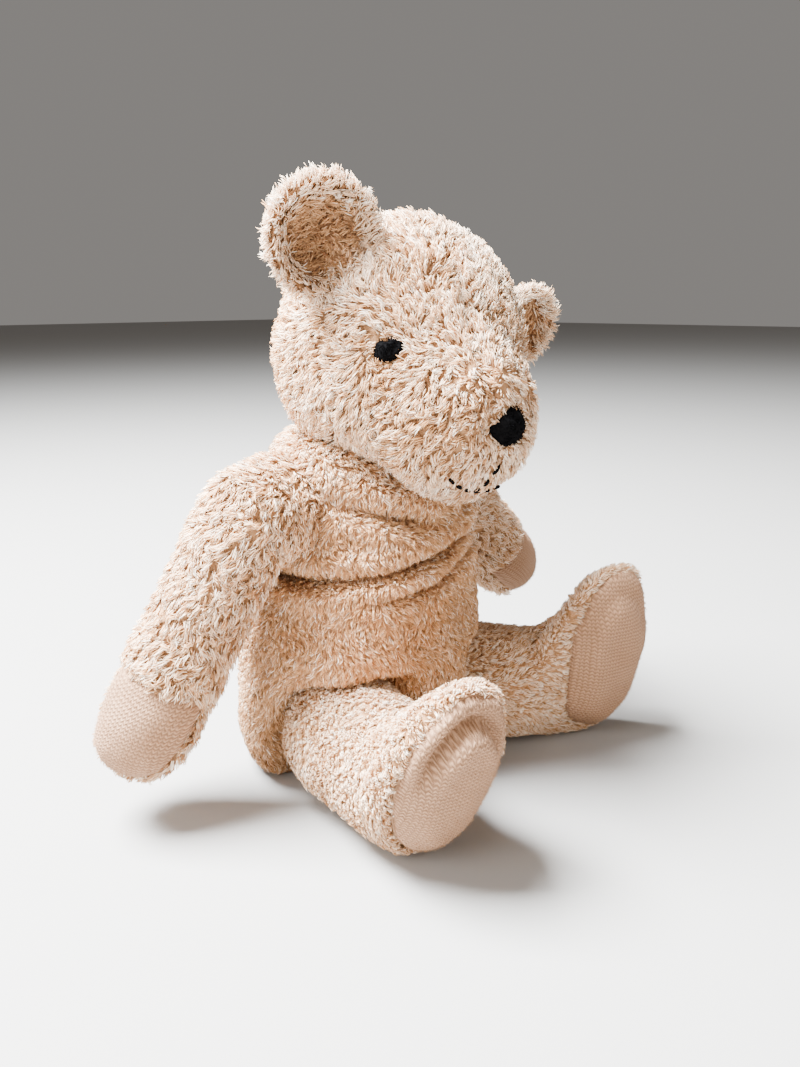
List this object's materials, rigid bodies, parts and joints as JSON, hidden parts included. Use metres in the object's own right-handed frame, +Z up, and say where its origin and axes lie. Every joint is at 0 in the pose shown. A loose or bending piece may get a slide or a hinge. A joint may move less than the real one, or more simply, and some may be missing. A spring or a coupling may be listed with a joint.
{
  "type": "jointed teddy bear",
  "caption": "Plush jointed teddy bear sitting on a flat seat, with a turning head, swinging arms and legs, knitted paw pads and soles, and an embroidered face.",
  "frame": {"origin": "middle of the flat underside that the bear sits on", "axes": "+Z up, the bear faces -Y, the bear's left side is +X"},
  "size_m": [0.2273, 0.1355, 0.2091],
  "materials": {
    "plush": "cream and beige cotton plush with a tufted pile",
    "knit": "fine ribbed knitted velour, pinkish beige",
    "stuffing": "loose wool stuffing",
    "yarn": "matt black embroidery wool",
    "seam_thread": "matt beige sewing thread",
    "fibreboard": "pressed brown fibreboard",
    "steel": "bright drawn steel"
  },
  "bodies": {
    "torso": {"torso_front_panel": "plush", "torso_back_panel": "plush", "torso_stuffing": "stuffing", "back_seam_stitches": "seam_thread", "neck_cotter_pin": "steel", "neck_torso_disc": "fibreboard", "neck_torso_washer": "steel", "right_shoulder_cotter_pin": "steel", "right_shoulder_torso_disc": "fibreboard", "right_shoulder_torso_washer": "steel", "left_shoulder_cotter_pin": "steel", "left_shoulder_torso_disc": "fibreboard", "left_shoulder_torso_washer": "steel", "right_hip_cotter_pin": "steel", "right_hip_torso_disc": "fibreboard", "right_hip_torso_washer": "steel", "left_hip_cotter_pin": "steel", "left_hip_torso_disc": "fibreboard", "left_hip_torso_washer": "steel"},
    "head": {"head_gusset": "plush", "head_right_panel": "plush", "head_left_panel": "plush", "head_stuffing": "stuffing", "nose": "yarn", "mouth_stitches": "yarn", "right_ear_front": "plush", "right_ear_back": "plush", "right_eye": "yarn", "left_ear_front": "plush", "left_ear_back": "plush", "left_eye": "yarn", "neck_limb_disc": "fibreboard", "neck_limb_washer": "steel"},
    "right_arm": {"right_arm_cover": "plush", "right_paw_pad": "knit", "right_arm_stuffing": "stuffing", "right_shoulder_limb_disc": "fibreboard", "right_shoulder_limb_washer": "steel"},
    "right_leg": {"right_leg_cover": "plush", "right_foot_sole": "knit", "right_leg_stuffing": "stuffing", "right_hip_limb_disc": "fibreboard", "right_hip_limb_washer": "steel"},
    "left_arm": {"left_arm_cover": "plush", "left_paw_pad": "knit", "left_arm_stuffing": "stuffing", "left_shoulder_limb_disc": "fibreboard", "left_shoulder_limb_washer": "steel"},
    "left_leg": {"left_leg_cover": "plush", "left_foot_sole": "knit", "left_leg_stuffing": "stuffing", "left_hip_limb_disc": "fibreboard", "left_hip_limb_washer": "steel"}
  },
  "joints": [
    {"name": "neck_turn", "type": "hinge", "parent": "torso", "child": "head", "pos_m": [0.0025, -0.005, 0.121], "axis": [0.1885, -0.1564, 0.9695], "range_deg": [-45, 45]},
    {"name": "right_arm_turn", "type": "hinge", "parent": "torso", "child": "right_arm", "pos_m": [-0.0365, 0.004, 0.103], "axis": [-1, 0, 0], "continuous": true},
    {"name": "left_arm_turn", "type": "hinge", "parent": "torso", "child": "left_arm", "pos_m": [0.0365, 0.004, 0.103], "axis": [-1, 0, 0], "continuous": true},
    {"name": "right_leg_turn", "type": "hinge", "parent": "torso", "child": "right_leg", "pos_m": [-0.012, -0.018, 0.0225], "axis": [-1, 0, 0], "range_deg": [-90, 8]},
    {"name": "left_leg_turn", "type": "hinge", "parent": "torso", "child": "left_leg", "pos_m": [0.012, -0.018, 0.0225], "axis": [-1, 0, 0], "range_deg": [-90, 8]}
  ]
}
